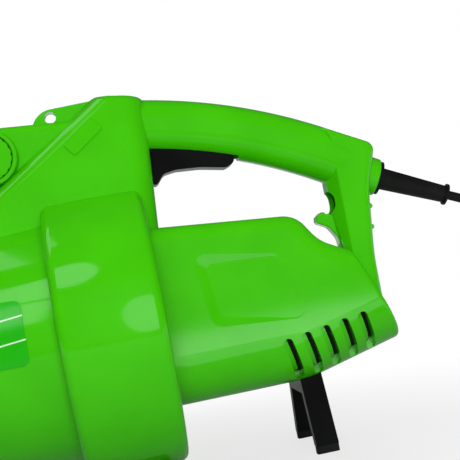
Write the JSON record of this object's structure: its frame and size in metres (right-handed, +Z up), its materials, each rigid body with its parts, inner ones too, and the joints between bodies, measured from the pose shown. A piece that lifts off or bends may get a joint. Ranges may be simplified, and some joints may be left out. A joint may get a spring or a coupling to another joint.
{
  "type": "leaf blower",
  "caption": "Corded hand-held leaf blower with a closed rear grip, trigger, speed dial, round fan housing, straight blow tube and flattened nozzle.",
  "frame": {"origin": "on the ground under the middle of the object, without its free cord", "axes": "+X along the motor axis towards the rear grip, +Y to the far side, +Z up"},
  "size_m": [0.8217, 0.281, 0.2639],
  "materials": {
    "green": "glossy",
    "label": "glossy",
    "black": "satin",
    "tube": "satin",
    "rubber": "matt",
    "steel": "satin",
    "copper": "satin",
    "carbon": "matt",
    "white": "satin",
    "board": "satin",
    "leads": "satin",
    "pins": "bright"
  },
  "bodies": {
    "housing": {"badge_left": "green", "belt_cover": "green", "brush_holders": "copper", "carbon_brushes": "carbon", "casing_back_plate": "black", "clamp_screws": "steel", "cord_clamp": "black", "cover_screws": "steel", "fan_casing": "green", "field_coils": "copper", "field_core": "steel", "flow_straightener": "black", "front_bearing": "steel", "front_foot": "rubber", "handle_left": "green", "handle_right": "green", "handle_screws": "steel", "inner_leads": "leads", "intake_grille": "black", "label_plate": "label", "motor_cover_left": "green", "motor_cover_right": "green", "motor_cradle": "black", "motor_screws": "steel", "plug_body": "rubber", "plug_pins": "pins", "potentiometer": "black", "power_cord": "rubber", "rear_bearing": "steel", "rear_bracket": "black", "rear_feet": "rubber", "rear_stand": "black", "speed_board": "board", "stand_screws": "steel", "strain_relief": "rubber", "strap_lug": "green", "suppressor": "black", "switch_body": "black", "trigger_pin": "steel", "vent_filters": "black"},
    "rotor": {"motor_shaft": "steel", "armature_core": "steel", "armature_coils": "copper", "commutator": "copper", "impeller": "black", "impeller_nut": "steel", "shaft_spacer": "steel"},
    "trigger": {"trigger": "black"},
    "plunger": {"switch_plunger": "white"},
    "dial": {"speed_dial": "green"},
    "tube": {"blow_tube": "tube", "nozzle": "tube"}
  },
  "joints": [
    {"name": "rotor_spin", "type": "hinge", "parent": "housing", "child": "rotor", "pos_m": [0.1569, 0, 0.105], "axis": [1, 0, 0], "continuous": true},
    {"name": "trigger_pull", "type": "hinge", "parent": "housing", "child": "trigger", "pos_m": [0.1809, 0, 0.2265], "axis": [0, -1, 0], "range_deg": [0, 6], "stiffness_Nm_per_rad": 2, "springref_deg": -3.44},
    {"name": "plunger_slide", "type": "slide", "parent": "housing", "child": "plunger", "axis": [0, 0, 1], "range_m": [0, 0.0036]},
    {"name": "dial_turn", "type": "hinge", "parent": "housing", "child": "dial", "pos_m": [0.0684, -0.02, 0.233], "axis": [0, 1, 0], "range_deg": [0, 270]},
    {"name": "tube_pull", "type": "slide", "parent": "housing", "child": "tube", "axis": [-1, 0, 0], "range_m": [0, 0.03]}
  ],
  "couplings": [
    {"joint": "plunger_slide", "follows": "trigger_pull", "m_per_rad": 0.032}
  ]
}
